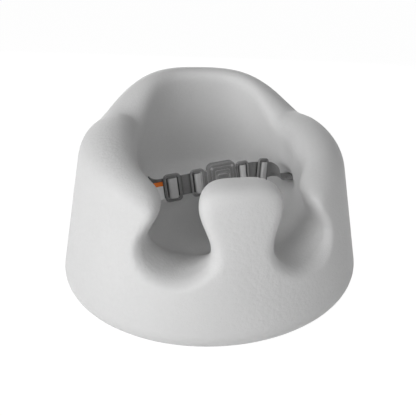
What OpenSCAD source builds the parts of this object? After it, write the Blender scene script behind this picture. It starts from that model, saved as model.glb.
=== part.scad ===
// Baby floor seat: a foam shell with two leg openings, a crotch post and a lap belt.
// Millimetres. +Z is up, the front faces -Y, and the origin is the middle of the base.

/* [Foam shell] */
// Radius of the shell at floor level, before its edge is rounded
shell_r = 187.5; // [182:0.5:193]
// Radius of the rounded base edge
base_edge_r = 24; // [16:1:28]
// How far the outer wall leans in for each unit of height
wall_lean = 0.21; // [0.19:0.005:0.23]
// Height of the rim on the arm rests
rim_arm = 198; // [191:1:204]
// Height of the rim at the back
rim_back = 243; // [228:1:258]
// Wall thickness of the crotch post
wall_post = 50; // [42:1:54]
// Wall thickness at the front lobes
wall_lobe = 44; // [40:1:48]
// Wall thickness of the arm rests
wall_arm = 64; // [60:1:66]
// Wall thickness of the back
wall_back = 36; // [30:1:41]

/* [Well and openings] */
// Height of the floor inside the well
floor_z = 56; // [52:1:60]
// Radius of the flat part of the floor
floor_r = 58; // [52:1:64]
// Height of the scoop between the floor and the upright wall
scoop_h = 54; // [46:1:60]
// Height of the crotch post
post_top = 174.5; // [168:0.5:182]
// Half width of the crotch post's head, in degrees round the shell
post_head = 16.9; // [15:0.1:18.5]
// Half width of the crotch post's waist, in degrees round the shell
post_waist = 12; // [10.5:0.1:13]
// Far side of each leg opening, in degrees from the front
leg_far = 37.6; // [36:0.1:39]
// Nose of each front lobe, in degrees from the front
leg_neck = 30.2; // [29:0.1:32]
// Height at which the rim starts to rise behind that nose
leg_neck_z = 147; // [144:1:150]
// Height at which each leg opening is widest
leg_wide_z = 106; // [102:1:110]
// Height of the sill of each leg opening
leg_sill_z = 78; // [74:0.5:83]

/* [Belt place] */
// Middle of the buckle along X
buckle_x = 6; // [0:0.5:8]
// Middle of the buckle along Y
buckle_y = -13; // [-16:0.5:-10]
// Height of the middle of the buckle
buckle_z = 129; // [125:0.5:133]
// Turn of the belt about the vertical, its right end to the back
belt_yaw = 8.5; // [4:0.5:11]
// Rise of the belt to its right end, in degrees
belt_rise = 5; // [3:0.5:7]
// Lean of the belt's face to the back, in degrees
belt_lean = 4; // [0:0.5:8]
// Place along Y of the slots that the straps come out of
exit_y = 19.5; // [17:0.5:21]
// Height of those slots
exit_z = 114; // [112:0.5:117]

/* [Webbing] */
// Width of the webbing
web_w = 25.4; // [24:0.2:26]
// Thickness of the webbing
web_t = 1.8; // [1.4:0.1:2]
// Depth from the middle of a frame back to the middle of the strap behind it
web_back = 3.1; // [2.9:0.1:3.6]

/* [Frames and sliders] */
// Length of a slider along the strap
slider_l = 21; // [20:0.5:23]
// Height of a slider and of both loop frames
frame_h = 35; // [34:0.5:37]
// Thickness of a slider and of both loop frames
frame_t = 3.2; // [2.6:0.1:3.4]
// Width of a slider's outer rails
rail_w = 3.4; // [3:0.1:3.8]
// Width of a slider's bar, which the webbing turns round
bar_w = 7.4; // [6.4:0.1:8]
// Length of the buckle's left loop frame
left_loop_l = 18; // [17:0.5:19]
// Length of the tongue's loop frame
right_loop_l = 17; // [16:0.5:18]
// Width of a loop frame's outer rails
loop_rail_w = 2.6; // [2.2:0.1:2.8]
// Width of a loop frame's bar
loop_bar_w = 4.6; // [4:0.1:5.2]
// Place of the left slider along the belt, from the buckle's middle
left_slider_at = -62; // [-64:0.5:-60]
// Place of the right slider along its own stretch of strap, from the end of the strap's bend
right_slider_at = 17; // [16:0.5:18]
// Turn of the right strap to the back, away from the belt's face
right_turn = 28; // [22:1:31]
// Drop of the right strap from the belt's line
right_drop = 15; // [11:1:17]

/* [Buckle] */
// Side of the buckle's housing along the belt
buckle_w = 36; // [35:0.5:38]
// Height of the housing
buckle_h = 42; // [40:0.5:44]
// Corner radius of the housing
buckle_corner = 7; // [5:0.5:9]
// Depth of the housing behind the parting line
housing_d = 5.2; // [4.8:0.1:6]
// Depth of the cover in front of the parting line
cover_d = 4.6; // [4.2:0.1:5]
// Height of each of the two steps on the cover
step_d = 0.8; // [0.5:0.1:1]
// Width of the release button along the belt
button_w = 15; // [13:0.5:16]
// Height of the release button
button_h = 16.4; // [15:0.2:17]
// Travel of the release button
button_travel = 2.4; // [1.8:0.1:2.6]
// Length of the tongue's prongs
prong_l = 13; // [12:0.5:13.5]
// Gap between moving pieces of the buckle
run_gap = 0.3; // [0.25:0.05:0.4]

/* [Strap anchors] */
// Distance of the strap tunnels from the middle of the seat
tunnel_x = 122; // [120:0.5:126]
// Radius of each anchor bar
anchor_r = 4; // [3.5:0.1:4.5]
// Length of each anchor bar
anchor_l = 46; // [42:1:50]
// Depth of the pocket for the anchor bar in the underside
pocket_d = 20; // [18:0.5:24]

/* [Hidden] */

foam = "gainsboro";
grey = "dimgray";
web_grey = "gray";
steel = "silver";

// ---- the shell as a skin over two coordinates: angle from the front, and height ----
// Millimetres of wall for each degree round the shell, at the middle of its height
mm_per_deg = 2.7;
// The rim rises from the lobe's nose to the top of the arm as a quarter of a round curve
arm_top = 102;
rim_power = 1.4;
// It rises again to the back from this angle on
back_from = 112;
back_start = 3.2;
back_end = 1.6;
// Angles over which the wall changes its thickness
post_wall_to = 16;
lobe_wall = [36, 40];
arm_wall_from = 84;
thin_from = 108;
thin_to = 166;
post_shoulder_z = 150;
// Rounding of the rim outside and inside, and its ridge's place across the wall from the inside
post_rim = [15, 26, 0.62];
sill_rim = [13, 17, 0.72];
side_rim = [14, 50, 0.72];
// How far the leg opening's side runs upright, and how far the lobe's nose bows out
nose_rise = 22;
nose_bow = 22;
nose_end = 31;
// Shares of the stretches that meet on the lobe's nose and on the top of the arm
nose_part = 0.62;
tip_part = 0.08;
arm_part = 0.46;
// How many strips of skin each region has
post_cols = 6;
sill_cols = 10;
side_cols = 30;
upper_rows = 10;
band_rows = 9;
edge_rows = 4;
scoop_rows = 11;
rim_points = 10;
grid_step = 0.001;

function clamp(t) = max(0, min(1, t));
function ramp(t) = let (u = clamp(t)) u * u * (3 - 2 * u);
function between(a, from, to) = ramp((a - from) / (to - from));
function mix(a, b, t) = a + (b - a) * t;
function snap(v) = [for (c = v) round(c / grid_step) * grid_step];

function rim_z(a) = let (
    near = clamp((arm_top - a) / (arm_top - leg_neck)),
    far = clamp((180 - a) / (180 - back_from)))
    leg_neck_z + (rim_arm - leg_neck_z) * pow(1 - pow(near, rim_power), 1 / rim_power)
        + (rim_back - rim_arm) * pow(1 - pow(far, back_start), back_end);
function wall_at(a) = a < lobe_wall[0]
    ? mix(wall_post, wall_lobe, between(a, post_wall_to, lobe_wall[0]))
    : wall_lobe + (wall_arm - wall_lobe) * between(a, lobe_wall[1], arm_wall_from)
        + (wall_back - wall_arm) * between(a, thin_from, thin_to);

// Outer radius of the shell at a height: the rounded base edge, then the leaning wall
lean_deg = atan(wall_lean);
edge_top_z = base_edge_r * (1 + sin(lean_deg));
edge_top_r = shell_r - base_edge_r * (1 - cos(lean_deg));
function outer_r(z) = z < edge_top_z
    ? shell_r - base_edge_r + sqrt(max(0, pow(base_edge_r, 2) - pow(z - base_edge_r, 2)))
    : edge_top_r - (z - edge_top_z) * wall_lean;

// Radius of the well: the scoop rises from the floor as a quarter ellipse to the upright wall
scoop_z = floor_z + scoop_h;
function well_r(a, z) = z >= scoop_z
    ? outer_r(z) - wall_at(a)
    : let (t = clamp((z - floor_z) / scoop_h))
        mix(floor_r, outer_r(scoop_z) - wall_at(a), sqrt(max(0, 1 - pow(1 - t, 2))));

// The outline of the openings and of the rim, each stretch run by t from 0 to 1
shoulder_part = 0.62;
corner_end = 45;
function post_side(t) = t <= shoulder_part
    ? let (u = t / shoulder_part)
        [mix(post_waist, post_head, ramp(u)), mix(leg_wide_z, post_shoulder_z, u)]
    : post_corner(corner_end * (t - shoulder_part) / (1 - shoulder_part));
function post_corner(v) = [post_head * pow(max(0, cos(v)), 0.62),
                           post_shoulder_z + (post_top - post_shoulder_z) * pow(sin(v), 0.75)];
function post_over(t) = post_corner(mix(90, corner_end, t));
// A point of the arm's round curve, from the nose's side at 0 to the arm's top at 90
function lobe_corner(v) =
    [arm_top - (arm_top - leg_neck) * pow(max(0, cos(v)), 2 / rim_power),
     leg_neck_z + (rim_arm - leg_neck_z) * pow(sin(v), 2 / rim_power)];
// From the widest place of the leg opening, round the lobe's nose, onto that curve
nose_low = [leg_far, leg_wide_z];
nose_knee = nose_low + [0, nose_rise];
nose_tip = lobe_corner(nose_end);
nose_step = lobe_corner(nose_end + 0.5) - nose_tip;
nose_over = nose_tip - nose_bow * nose_step / nose_step[0];
function nose(t) = pow(1 - t, 3) * nose_low + 3 * t * pow(1 - t, 2) * nose_knee
    + 3 * t * t * (1 - t) * nose_over + pow(t, 3) * nose_tip;
function lobe_side(t) = nose(nose_part * t);
function rim_run(t) = t <= tip_part ? nose(mix(nose_part, 1, t / tip_part))
    : t <= arm_part ? lobe_corner(mix(nose_end, 90, (t - tip_part) / (arm_part - tip_part)))
    : let (a = mix(arm_top, 180, (t - arm_part) / (1 - arm_part))) [a, rim_z(a)];
leg_mid = (post_waist + leg_far) / 2;
leg_half = (leg_far - post_waist) / 2;
function leg_bottom(t) = [leg_mid - leg_half * cos(180 * t),
                          leg_wide_z - (leg_wide_z - leg_sill_z) * sin(180 * t)];

// The rim as a chain on the unrolled wall; each knot carries its two roundings and its ridge
sill_blend = 0.3;
back_past = 0.23;
function knot(p, rim) = [p[0] * mm_per_deg, p[1], rim[0], rim[1], rim[2]];
function arm_rim(a) = [wall_at(a) / 2, wall_at(a) / 2, 0.5];
function leg_rim(t) = mix(mix(post_rim, sill_rim, ramp(t / sill_blend)), side_rim,
                          ramp(1 - (1 - t) / sill_blend));
function half_rim() = let (n = rim_points) [
    for (i = [0:n]) knot(post_over(i / n), post_rim),
    for (i = [n - 1:-1:0]) knot(post_side(i / n), post_rim),
    for (i = [1:n]) knot(leg_bottom(i / n), leg_rim(i / n)),
    for (i = [1:n]) let (p = nose(i / n)) knot(p, mix(side_rim, arm_rim(p[0]), ramp(2 * i / n - 1))),
    for (i = [1:3 * n]) let (p = rim_run(mix(tip_part, 1, i / (3 * n)))) knot(p, arm_rim(p[0])),
    for (i = [1:n]) let (p = rim_run(1 - back_past * i / n)) knot([360 - p[0], p[1]], arm_rim(p[0]))
];
// Each stretch of the chain: start, direction, length, cubes of its two roundings, ridge
function stretch(a, b) = let (
    d = [b[0] - a[0], b[1] - a[1]],
    mean = (a + b) / 2
) [[a[0], a[1]], d / norm(d), norm(d), [pow(mean[2], 3), pow(mean[3], 3)], mean[4]];
function rim_stretches() = let (half = half_rim()) [
    for (s = [1, -1]) for (i = [1:len(half) - 1])
        stretch([s * half[i - 1][0], each [for (k = [1:4]) half[i - 1][k]]],
                [s * half[i][0], each [for (k = [1:4]) half[i][k]]])
];

// How much one stretch weighs on a place: its inverse cube distance summed along its length
function pull_part(s, h) = s / (2 * h * h * (s * s + h * h)) + atan(s / h) * PI / 360 / pow(h, 3);
function pull(p, r) = let (
    gap = p - r[0],
    s = gap * r[1],
    h = max(0.05, abs(gap[0] * r[1][1] - gap[1] * r[1][0]))
) max(0, pull_part(s, h) - pull_part(s - r[2], h));

// A point of the skin: side 0 is the outside and 1 the inside of the wall
full_near = 1.12;
round_power = 2.5;
function skin_point(p, side, rims) = let (
    a = p[0],
    z = p[1],
    pulls = [for (r = rims) pull([a * mm_per_deg, z], r)],
    ridge = pulls * [for (r = rims) r[4]] / (pulls * [for (r = rims) 1]),
    near = p[2] ? 0 : pow(2 / PI * (pulls * [for (r = rims) r[3][side]]), -1 / 3),
    outside = outer_r(z),
    inside = well_r(a, z),
    crest = mix(inside, outside, ridge),
    e = sqrt(max(0, 1 - pow(1 - min(1, near / full_near), round_power))),
    r = mix(crest, side == 0 ? outside : inside, e)
) snap([r * sin(a), -r * cos(a), z]);

// Steps from 0 to 1 that crowd towards 0
function crowd(n, power) = [for (i = [0:n]) pow(i / n, power)];
function spread(n, power) = [for (i = [n:-1:0]) 1 - pow(i / n, power)];

// A patch stretched between four sides; rows go up, and the last row lies on the rim
function patch(us, vs, low, high, near, far, rim_col) = [for (v = vs) [for (u = us) let (
    p = (1 - v) * low(u) + v * high(u) + (1 - u) * near(v) + u * far(v)
        - (1 - u) * (1 - v) * low(0) - u * (1 - v) * low(1)
        - (1 - u) * v * high(0) - u * v * high(1))
    [p[0], p[1], v == 1 || u == rim_col]]];

post_us = spread(post_cols, 1.5);
side_us = crowd(side_cols, 1.35);
upper_vs = spread(upper_rows, 1.7);
function post_patch() = patch(post_us, upper_vs,
    function (u) [post_waist * u, leg_wide_z], function (u) post_over(u),
    function (v) [0, mix(leg_wide_z, post_top, v)], function (v) post_side(v), 1);
function side_patch() = patch(side_us, upper_vs,
    function (u) [mix(leg_far, 180, u), leg_wide_z], function (u) rim_run(u),
    function (v) lobe_side(v), function (v) [180, mix(leg_wide_z, rim_z(180), v)], 0);

// The columns below the patches and the openings: angle, top height, and whether on the rim
function columns() = [
    for (u = post_us) [post_waist * u, leg_wide_z, u == 1],
    for (i = [1:sill_cols - 1]) let (p = leg_bottom(i / sill_cols)) [p[0], p[1], true],
    for (u = side_us) [mix(leg_far, 180, u), leg_wide_z, u == 0]
];
edge_z = 0.9 * base_edge_r;
edge_start = asin(1 - edge_z / base_edge_r);
function outer_band(cols) = [
    for (s = crowd(band_rows, 1.35)) [for (c = cols) [c[0], mix(c[1], edge_z, s), s == 0 && c[2]]],
    for (i = [1:edge_rows]) let (v = mix(edge_start, 90, i / edge_rows))
        [for (c = cols) [c[0], i == edge_rows ? 0 : base_edge_r * (1 - sin(v)), false]]
];
function inner_band(cols) = [for (i = [0:scoop_rows]) let (s = 1 - sin(90 * i / scoop_rows))
    [for (c = cols) [c[0], i == scoop_rows ? floor_z : mix(floor_z, c[1], s), i == 0 && c[2]]]];

function grid_points(grid, side, rims) = [for (row = grid) for (p = row) skin_point(p, side, rims)];
function grid_faces(grid, first, turn) = let (n = len(grid[0])) [
    for (i = [0:len(grid) - 2]) for (j = [0:n - 2]) let (a = first + i * n + j)
        each turn ? [[a, a + n + 1, a + 1], [a, a + n, a + n + 1]]
                  : [[a, a + 1, a + n + 1], [a, a + n + 1, a + n]]];
function mirrored(points) = [for (p = points) [-p[0], p[1], p[2]]];
function turned(faces, by) = [for (f = faces) [for (k = [len(f) - 1:-1:0]) f[k] + by]];
function total(counts, n) = n == 0 ? 0 : counts[n - 1] + total(counts, n - 1);

module foam_skin() {
    rims = rim_stretches();
    cols = columns();
    grids = [outer_band(cols), inner_band(cols), post_patch(), post_patch(), side_patch(), side_patch()];
    sides = [0, 1, 0, 1, 0, 1];
    turns = [false, true, true, false, true, false];
    counts = [for (g = grids) len(g) * len(g[0])];
    half = [for (k = [0:5]) each grid_points(grids[k], sides[k], rims)];
    half_faces = [for (k = [0:5]) each grid_faces(grids[k], total(counts, k), turns[k])];
    n = len(cols);
    base_first = counts[0] - n;
    floor_first = counts[0] + counts[1] - n;
    m = len(half);
    base = [for (j = [0:n - 1]) base_first + j, for (j = [n - 2:-1:1]) m + base_first + j];
    floor_ring = [for (j = [n - 1:-1:0]) floor_first + j, for (j = [1:n - 2]) m + floor_first + j];
    polyhedron(concat(half, mirrored(half)),
               concat(half_faces, turned(half_faces, m), [base, floor_ring]), convexity = 8);
}

// ---- places shared by the straps and the shell ----
wall_in_x = sqrt(pow(well_r(90, exit_z), 2) - pow(exit_y, 2));
tunnel_w = web_w + 4;
tunnel_t = web_t + 2.6;
web_bend = 4;
bend_lap = 0.2;
mouth_out = 3;
// Depth of the dip in the foam round each mouth, and its reach up and down
dip_in = 9;
dip_up = 14;
// Length of strap that stays flat in front of each mouth
flat_run = 4;
swing_gap = 0.3;
root_tip_x = wall_in_x - mouth_out;
ring_r = anchor_r + run_gap + web_t;
anchor_z = pocket_d - run_gap - ring_r;
cap_t = 3;
cap_r = 5.8;
pocket_l = anchor_l + 6;
pocket_w = 2 * ring_r + 4;

// The way of one strap through the wall: in from the well, then down to the pocket
module tunnel() {
    translate([wall_in_x - 20, exit_y - tunnel_w / 2, exit_z - tunnel_t / 2])
        cube([tunnel_x + tunnel_t / 2 - wall_in_x + 20, tunnel_w, tunnel_t]);
    translate([tunnel_x - tunnel_t / 2, exit_y - tunnel_w / 2, pocket_d - 1])
        cube([tunnel_t, tunnel_w, exit_z + tunnel_t / 2 - pocket_d + 1]);
    translate([tunnel_x - pocket_w / 2, exit_y - pocket_l / 2, -1])
        cube([pocket_w, pocket_l, pocket_d + 1]);
    // The foam dips round the mouth of the slot
    translate([wall_in_x, exit_y, exit_z])
        scale([dip_in, tunnel_w / 2 + 3, dip_up])
            sphere(1, $fn = 28);
}

module both_sides() {
    children();
    mirror([1, 0, 0]) children();
}

module seat_body() {
    color(foam)
        resize([0, 0, 0])
            difference() {
                foam_skin();
                both_sides() tunnel();
            }
}

// ---- anchors under the seat and the strap's roots in the wall ----
module anchor() {
    translate([tunnel_x, exit_y, anchor_z])
        rotate([90, 0, 0]) {
            cylinder(r = anchor_r, h = anchor_l, center = true, $fn = 32);
            for (s = [-1, 1])
                translate([0, 0, s * (anchor_l - cap_t) / 2])
                    cylinder(r = cap_r, h = cap_t, center = true, $fn = 32);
        }
}

// The strap's path seen along Y: in from the mouth, round the bend, down and round the bar
module strap_root() {
    down_x = tunnel_x - web_t / 2;
    top_z = exit_z - web_t / 2;
    bend_z = top_z - web_bend;
    bend_x = down_x - web_bend;
    translate([0, exit_y + web_w / 2, 0])
        rotate([90, 0, 0])
            linear_extrude(web_w)
                union() {
                    translate([root_tip_x, top_z])
                        square([bend_x - root_tip_x, web_t]);
                    translate([bend_x, bend_z])
                        intersection() {
                            difference() {
                                circle(web_bend + web_t, $fn = 48);
                                circle(web_bend, $fn = 48);
                            }
                            translate([-bend_lap, -bend_lap])
                                square(web_bend + web_t + bend_lap);
                        }
                    translate([down_x, anchor_z + ring_r - web_t])
                        square([web_t, bend_z - anchor_z - ring_r + web_t]);
                    translate([tunnel_x, anchor_z])
                        difference() {
                            circle(ring_r, $fn = 48);
                            circle(ring_r - web_t, $fn = 48);
                        }
                }
}

module anchor_left() {
    color(grey) mirror([1, 0, 0]) anchor();
}

module anchor_right() {
    color(grey) anchor();
}

module strap_root_left() {
    color(web_grey) mirror([1, 0, 0]) strap_root();
}

module strap_root_right() {
    color(web_grey) strap_root();
}

// ---- the belt's own frame: x along the belt, -y its face, z across the webbing ----
module on_belt() {
    translate([buckle_x, buckle_y, buckle_z])
        rotate([-belt_lean, -belt_rise, belt_yaw])
            children();
}

function turn_x(v, a) = [v[0], v[1] * cos(a) - v[2] * sin(a), v[1] * sin(a) + v[2] * cos(a)];
function turn_y(v, a) = [v[0] * cos(a) + v[2] * sin(a), v[1], v[2] * cos(a) - v[0] * sin(a)];
function turn_z(v, a) = [v[0] * cos(a) - v[1] * sin(a), v[0] * sin(a) + v[1] * cos(a), v[2]];
function belt_dir(v) = turn_z(turn_y(turn_x(v, -belt_lean), -belt_rise), belt_yaw);
function belt_at(v) = [buckle_x, buckle_y, buckle_z] + belt_dir(v);

// Where the right strap leaves the belt's line, and where its slider sits on it
bend_r = 12;
left_neck = 3.5;
tongue_neck = 1.7;
bend_from = buckle_w / 2 + tongue_neck + right_loop_l + 1;
function right_bend(t) = let (a = t * right_turn) [
    bend_from + bend_r * sin(a), web_back + bend_r * (1 - cos(a)),
    -bend_r * right_turn * PI / 360 * tan(right_drop) * t * t];
function right_turned(v, t) = turn_z(turn_y(v, t * right_drop), t * right_turn);
bend_end = right_bend(1);
right_dir = right_turned([1, 0, 0], 1);
right_front = right_turned([0, -1, 0], 1);
right_across = right_turned([0, 0, 1], 1);
right_slider_mid = bend_end + right_slider_at * right_dir + web_back * right_front;
right_straight = right_slider_at + slider_l / 2 + 3;

module on_right_slider() {
    on_belt()
        translate(right_slider_mid)
            rotate([0, right_drop, right_turn])
                children();
}

module on_left_slider() {
    on_belt()
        translate([left_slider_at, 0, 0])
            children();
}

// A flat plate with round corners, standing on edge: w along x, h along z, and t deep in y
module plate(w, h, t, r) {
    rotate([90, 0, 0])
        translate([0, 0, -t / 2])
            linear_extrude(t)
                round_rect(w, h, r);
}

module round_rect(w, h, r) {
    square([w - 2 * r, h], center = true);
    square([w, h - 2 * r], center = true);
    for (x = [-1, 1], z = [-1, 1])
        translate([x * (w / 2 - r), z * (h / 2 - r)])
            circle(r, $fn = 32);
}

// ---- frames that hold the webbing: two windows with a bar between them ----
frame_corner = 5;
window_corner = 1.5;
web_room = 0.7;
window_h = web_w + 2 * web_room;

module webbing_frame(l, rail, bar) {
    difference() {
        plate(l, frame_h, frame_t, frame_corner);
        for (s = [-1, 1])
            translate([s * (l / 2 - rail + bar / 2) / 2, 0, 0])
                plate(l / 2 - rail - bar / 2, window_h, frame_t + 2, window_corner);
    }
}

// The webbing's turn over a bar: a round hump in front with two straight legs to the back
fold_r = 0.8;
hump_in = frame_t / 2 + run_gap;
wrap_foot = web_back - web_t / 2 - run_gap;

module wrap(bar) {
    in_x = bar / 2 + run_gap;
    out_x = in_x + web_t;
    translate([0, 0, -web_w / 2])
        linear_extrude(web_w)
            difference() {
                union() {
                    round_rect(2 * out_x, 2 * (hump_in + web_t), fold_r + web_t);
                    translate([-out_x, 0])
                        square([2 * out_x, wrap_foot]);
                }
                round_rect(2 * in_x, 2 * hump_in, fold_r);
                translate([-in_x, 0])
                    square([2 * in_x, 3 * hump_in]);
                translate([-out_x - 1, wrap_foot])
                    square([2 * out_x + 2, 3 * hump_in]);
            }
}

left_bar_x = -buckle_w / 2 - left_neck - left_loop_l / 2;
right_bar_x = buckle_w / 2 + tongue_neck + right_loop_l / 2;

module slider_left() {
    color(grey) on_left_slider() webbing_frame(slider_l, rail_w, bar_w);
}

module slider_right() {
    color(grey) on_right_slider() webbing_frame(slider_l, rail_w, bar_w);
}

module wrap_left() {
    color(web_grey) on_left_slider() wrap(bar_w);
}

module wrap_right() {
    color(web_grey) on_right_slider() wrap(bar_w);
}

module loop_left() {
    color(web_grey) on_belt() translate([left_bar_x, 0, 0]) wrap(loop_bar_w);
}

module loop_right() {
    color(web_grey) on_belt() translate([right_bar_x, 0, 0]) wrap(loop_bar_w);
}

// ---- free straps: a ribbon that leaves the wall flat and twists upright ----
twist_steps = 14;
root_gap_x = root_tip_x - swing_gap;

function unit(v) = v / norm(v);
function curve(p0, t0, p1, t1, s) = (2 * pow(s, 3) - 3 * s * s + 1) * p0
    + (pow(s, 3) - 2 * s * s + s) * t0 + (3 * s * s - 2 * pow(s, 3)) * p1 + (pow(s, 3) - s * s) * t1;
function curve_dir(p0, t0, p1, t1, s) = unit((6 * s * s - 6 * s) * p0
    + (3 * s * s - 4 * s + 1) * t0 + (6 * s - 6 * s * s) * p1 + (3 * s * s - 2 * s) * t1);

// A station of a ribbon: its middle, its direction and the direction of its width
function station(p, d, w) = let (wide = unit(w - (w * d) * d), n = cross(d, wide)) [
    p - wide * web_w / 2 - n * web_t / 2, p + wide * web_w / 2 - n * web_t / 2,
    p + wide * web_w / 2 + n * web_t / 2, p - wide * web_w / 2 + n * web_t / 2];
function free_run(p0, d0, p1, d1, w0, w1, pull) = [for (i = [0:twist_steps]) let (
    s = i / twist_steps,
    d = curve_dir(p0, pull * d0, p1, pull * d1, s),
    a = 90 * ramp(s))
    station(curve(p0, pull * d0, p1, pull * d1, s), d, cos(a) * w0 + sin(a) * w1)];

module ribbon(stations) {
    n = len(stations);
    points = [for (s = stations) each s];
    sides = [for (i = [0:n - 2]) for (k = [0:3]) let (
        a = 4 * i + k,
        b = 4 * i + (k + 1) % 4)
        each [[a, b + 4, b], [a, a + 4, b + 4]]];
    polyhedron(points, concat([[0, 1, 2, 3]], sides, [[for (k = [1:4]) 4 * n - k]]), convexity = 4);
}

upright = belt_dir([0, 0, 1]);
along = belt_dir([1, 0, 0]);
left_start = left_slider_at - slider_l / 2 - 4;
loop_out = loop_bar_w / 2 + run_gap + web_t;
left_end = left_bar_x + loop_out;
right_end = right_bar_x - loop_out;
bend_steps = 6;
// How hard each end of a free strap pulls its curve straight
left_pull = 40;
right_pull = 30;

module strap_left() {
    color(web_grey)
        ribbon(concat(
            [station([-root_gap_x, exit_y, exit_z], [1, 0, 0], [0, 1, 0])],
            free_run([-root_gap_x + flat_run, exit_y, exit_z], [1, 0, 0],
                     belt_at([left_start, web_back, 0]), along, [0, 1, 0], upright, left_pull),
            [station(belt_at([left_end, web_back, 0]), along, upright)]));
}

module strap_right() {
    color(web_grey)
        ribbon(concat(
            [station(belt_at([right_end, web_back, 0]), along, upright)],
            [for (i = [0:bend_steps]) let (t = i / bend_steps)
                station(belt_at(right_bend(t)), belt_dir(right_turned([1, 0, 0], t)),
                        belt_dir(right_turned([0, 0, 1], t)))],
            free_run(belt_at(bend_end + right_straight * right_dir), belt_dir(right_dir),
                     [root_gap_x - flat_run, exit_y, exit_z], [1, 0, 0],
                     belt_dir(right_across), [0, -1, 0], right_pull),
            [station([root_gap_x, exit_y, exit_z], [1, 0, 0], [0, -1, 0])]));
}

// ---- the sewn tag on the left strap: a narrow band over a plain label ----
tag_l = 18;
tag_t = 0.4;
tag_low = -13.2;
tag_high = 9.3;
band_h = 5.5;

module tag_piece(low, high) {
    on_belt()
        translate([left_slider_at - slider_l / 2 - 0.8 - tag_l, web_back - web_t / 2 - run_gap - tag_t, low])
            cube([tag_l, tag_t, high - low]);
}

module tag_band() {
    color("darkorange") tag_piece(tag_high - band_h, tag_high);
}

module tag_label() {
    color("white") tag_piece(tag_low, tag_high - band_h - 0.05);
}

// ---- the buckle ----
prong_t = 2.4;
prong_in = 9;
prong_out = 12.5;
core_w = 19.2;
core_h = 17;
flange_w = 18.4;
flange_h = 12;
flange_t = 1;
cover_skin = 1.1;
housing_skin = 1.4;
spring_room = 8;
screw_x = 13;
screw_z = 15.5;
screw_r = 1.4;
head_r = 2.4;
head_t = 1.4;
bore_gap = 0.05;
step_inset = 4;
neck_h = 27;

// The button's flange rests behind the cover and stops on the housing after its travel
rest_gap = 0.1;
flange_y = -cover_d + cover_skin + rest_gap;
button_stop_y = flange_y + flange_t + button_travel + rest_gap;
button_out = 0.5;
button_face_y = -cover_d - 2 * step_d - button_out;

module buckle_block(from, to, inset) {
    translate([0, (from + to) / 2, 0])
        plate(buckle_w - 2 * inset, buckle_h - 2 * inset, to - from, buckle_corner - inset / 2);
}

// Room for the two prongs, open at the right
module prong_room() {
    for (s = [-1, 1])
        translate([buckle_w / 2 - prong_l - 1, -prong_t / 2 - run_gap, s * (prong_in + prong_out) / 2 - 2.05])
            cube([prong_l + 2, prong_t + 2 * run_gap, 4.1]);
}

// A row of things on the four screw places, along Y
module at_screws() {
    for (x = [-1, 1], z = [-1, 1])
        translate([x * screw_x, 0, z * screw_z])
            rotate([-90, 0, 0])
                children();
}

module buckle_housing() {
    color(grey)
        on_belt()
            difference() {
                union() {
                    buckle_block(0, housing_d, 0);
                    translate([left_bar_x, 0, 0])
                        webbing_frame(left_loop_l, loop_rail_w, loop_bar_w);
                    translate([-buckle_w / 2 - left_neck - 1, -frame_t / 2, -neck_h / 2])
                        cube([left_neck + 2, frame_t, neck_h]);
                }
                translate([-core_w / 2, -frame_t, -core_h / 2])
                    cube([core_w, frame_t + button_stop_y, core_h]);
                translate([-spring_room / 2, -frame_t, -spring_room / 2])
                    cube([spring_room, frame_t + housing_d - housing_skin, spring_room]);
                translate([-buckle_w / 2, -frame_t, -buckle_h / 2])
                    cube([buckle_w, frame_t, buckle_h]);
                prong_room();
                at_screws() {
                    translate([0, 0, -1])
                        cylinder(r = screw_r + bore_gap, h = housing_d + 2, $fn = 24);
                    translate([0, 0, housing_d - head_t - 0.1])
                        cylinder(r = head_r + 0.1, h = head_t + 1, $fn = 24);
                }
            }
}

module buckle_cover() {
    color(grey)
        on_belt()
            difference() {
                union() {
                    buckle_block(-cover_d, -0.02, 0);
                    buckle_block(-cover_d - step_d, -cover_d, step_inset);
                    buckle_block(-cover_d - 2 * step_d, -cover_d - step_d, 2 * step_inset);
                }
                translate([-core_w / 2, -cover_d + cover_skin, -core_h / 2])
                    cube([core_w, cover_d, core_h]);
                plate(button_w + 2 * run_gap, button_h + 2 * run_gap, 3 * cover_d, 3 + run_gap);
                prong_room();
                at_screws()
                    translate([0, 0, -cover_d + 1])
                        cylinder(r = screw_r + bore_gap, h = cover_d, $fn = 24);
            }
}

module release_button() {
    color("gray")
        on_belt()
            union() {
                translate([0, (button_face_y + flange_y + 0.5) / 2, 0])
                    plate(button_w, button_h, flange_y + 0.5 - button_face_y, 3);
                translate([-flange_w / 2, flange_y, -flange_h / 2])
                    cube([flange_w, flange_t, flange_h]);
            }
}

// A compression spring: one round wire along a helix, six sides to the wire
spring_r = 3;
wire_r = 0.3;
spring_turns = 4;
spring_steps = 12;
spring_from = flange_y + flange_t + wire_r + 0.05;
spring_to = housing_d - housing_skin - wire_r - 0.05;

module button_spring() {
    n = spring_turns * spring_steps;
    points = [for (i = [0:n]) for (k = [0:5]) let (
        a = 360 * i / spring_steps,
        r = spring_r + wire_r * cos(60 * k))
        [r * cos(a), mix(spring_from, spring_to, i / n) + wire_r * sin(60 * k), r * sin(a)]];
    sides = [for (i = [0:n - 1]) for (k = [0:5]) let (a = 6 * i + k, b = 6 * i + (k + 1) % 6)
        each [[a, b + 6, b], [a, a + 6, b + 6]]];
    color(steel)
        on_belt()
            polyhedron(points, concat([[for (k = [0:5]) k]], sides, [[for (k = [5:-1:0]) 6 * n + k]]),
                       convexity = 10);
}

module buckle_screws() {
    color(steel)
        on_belt()
            at_screws() {
                translate([0, 0, -cover_d + 1.5])
                    cylinder(r = screw_r, h = cover_d + housing_d - 2, $fn = 24);
                translate([0, 0, housing_d - head_t])
                    cylinder(r = head_r, h = head_t, $fn = 24);
            }
}

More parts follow.
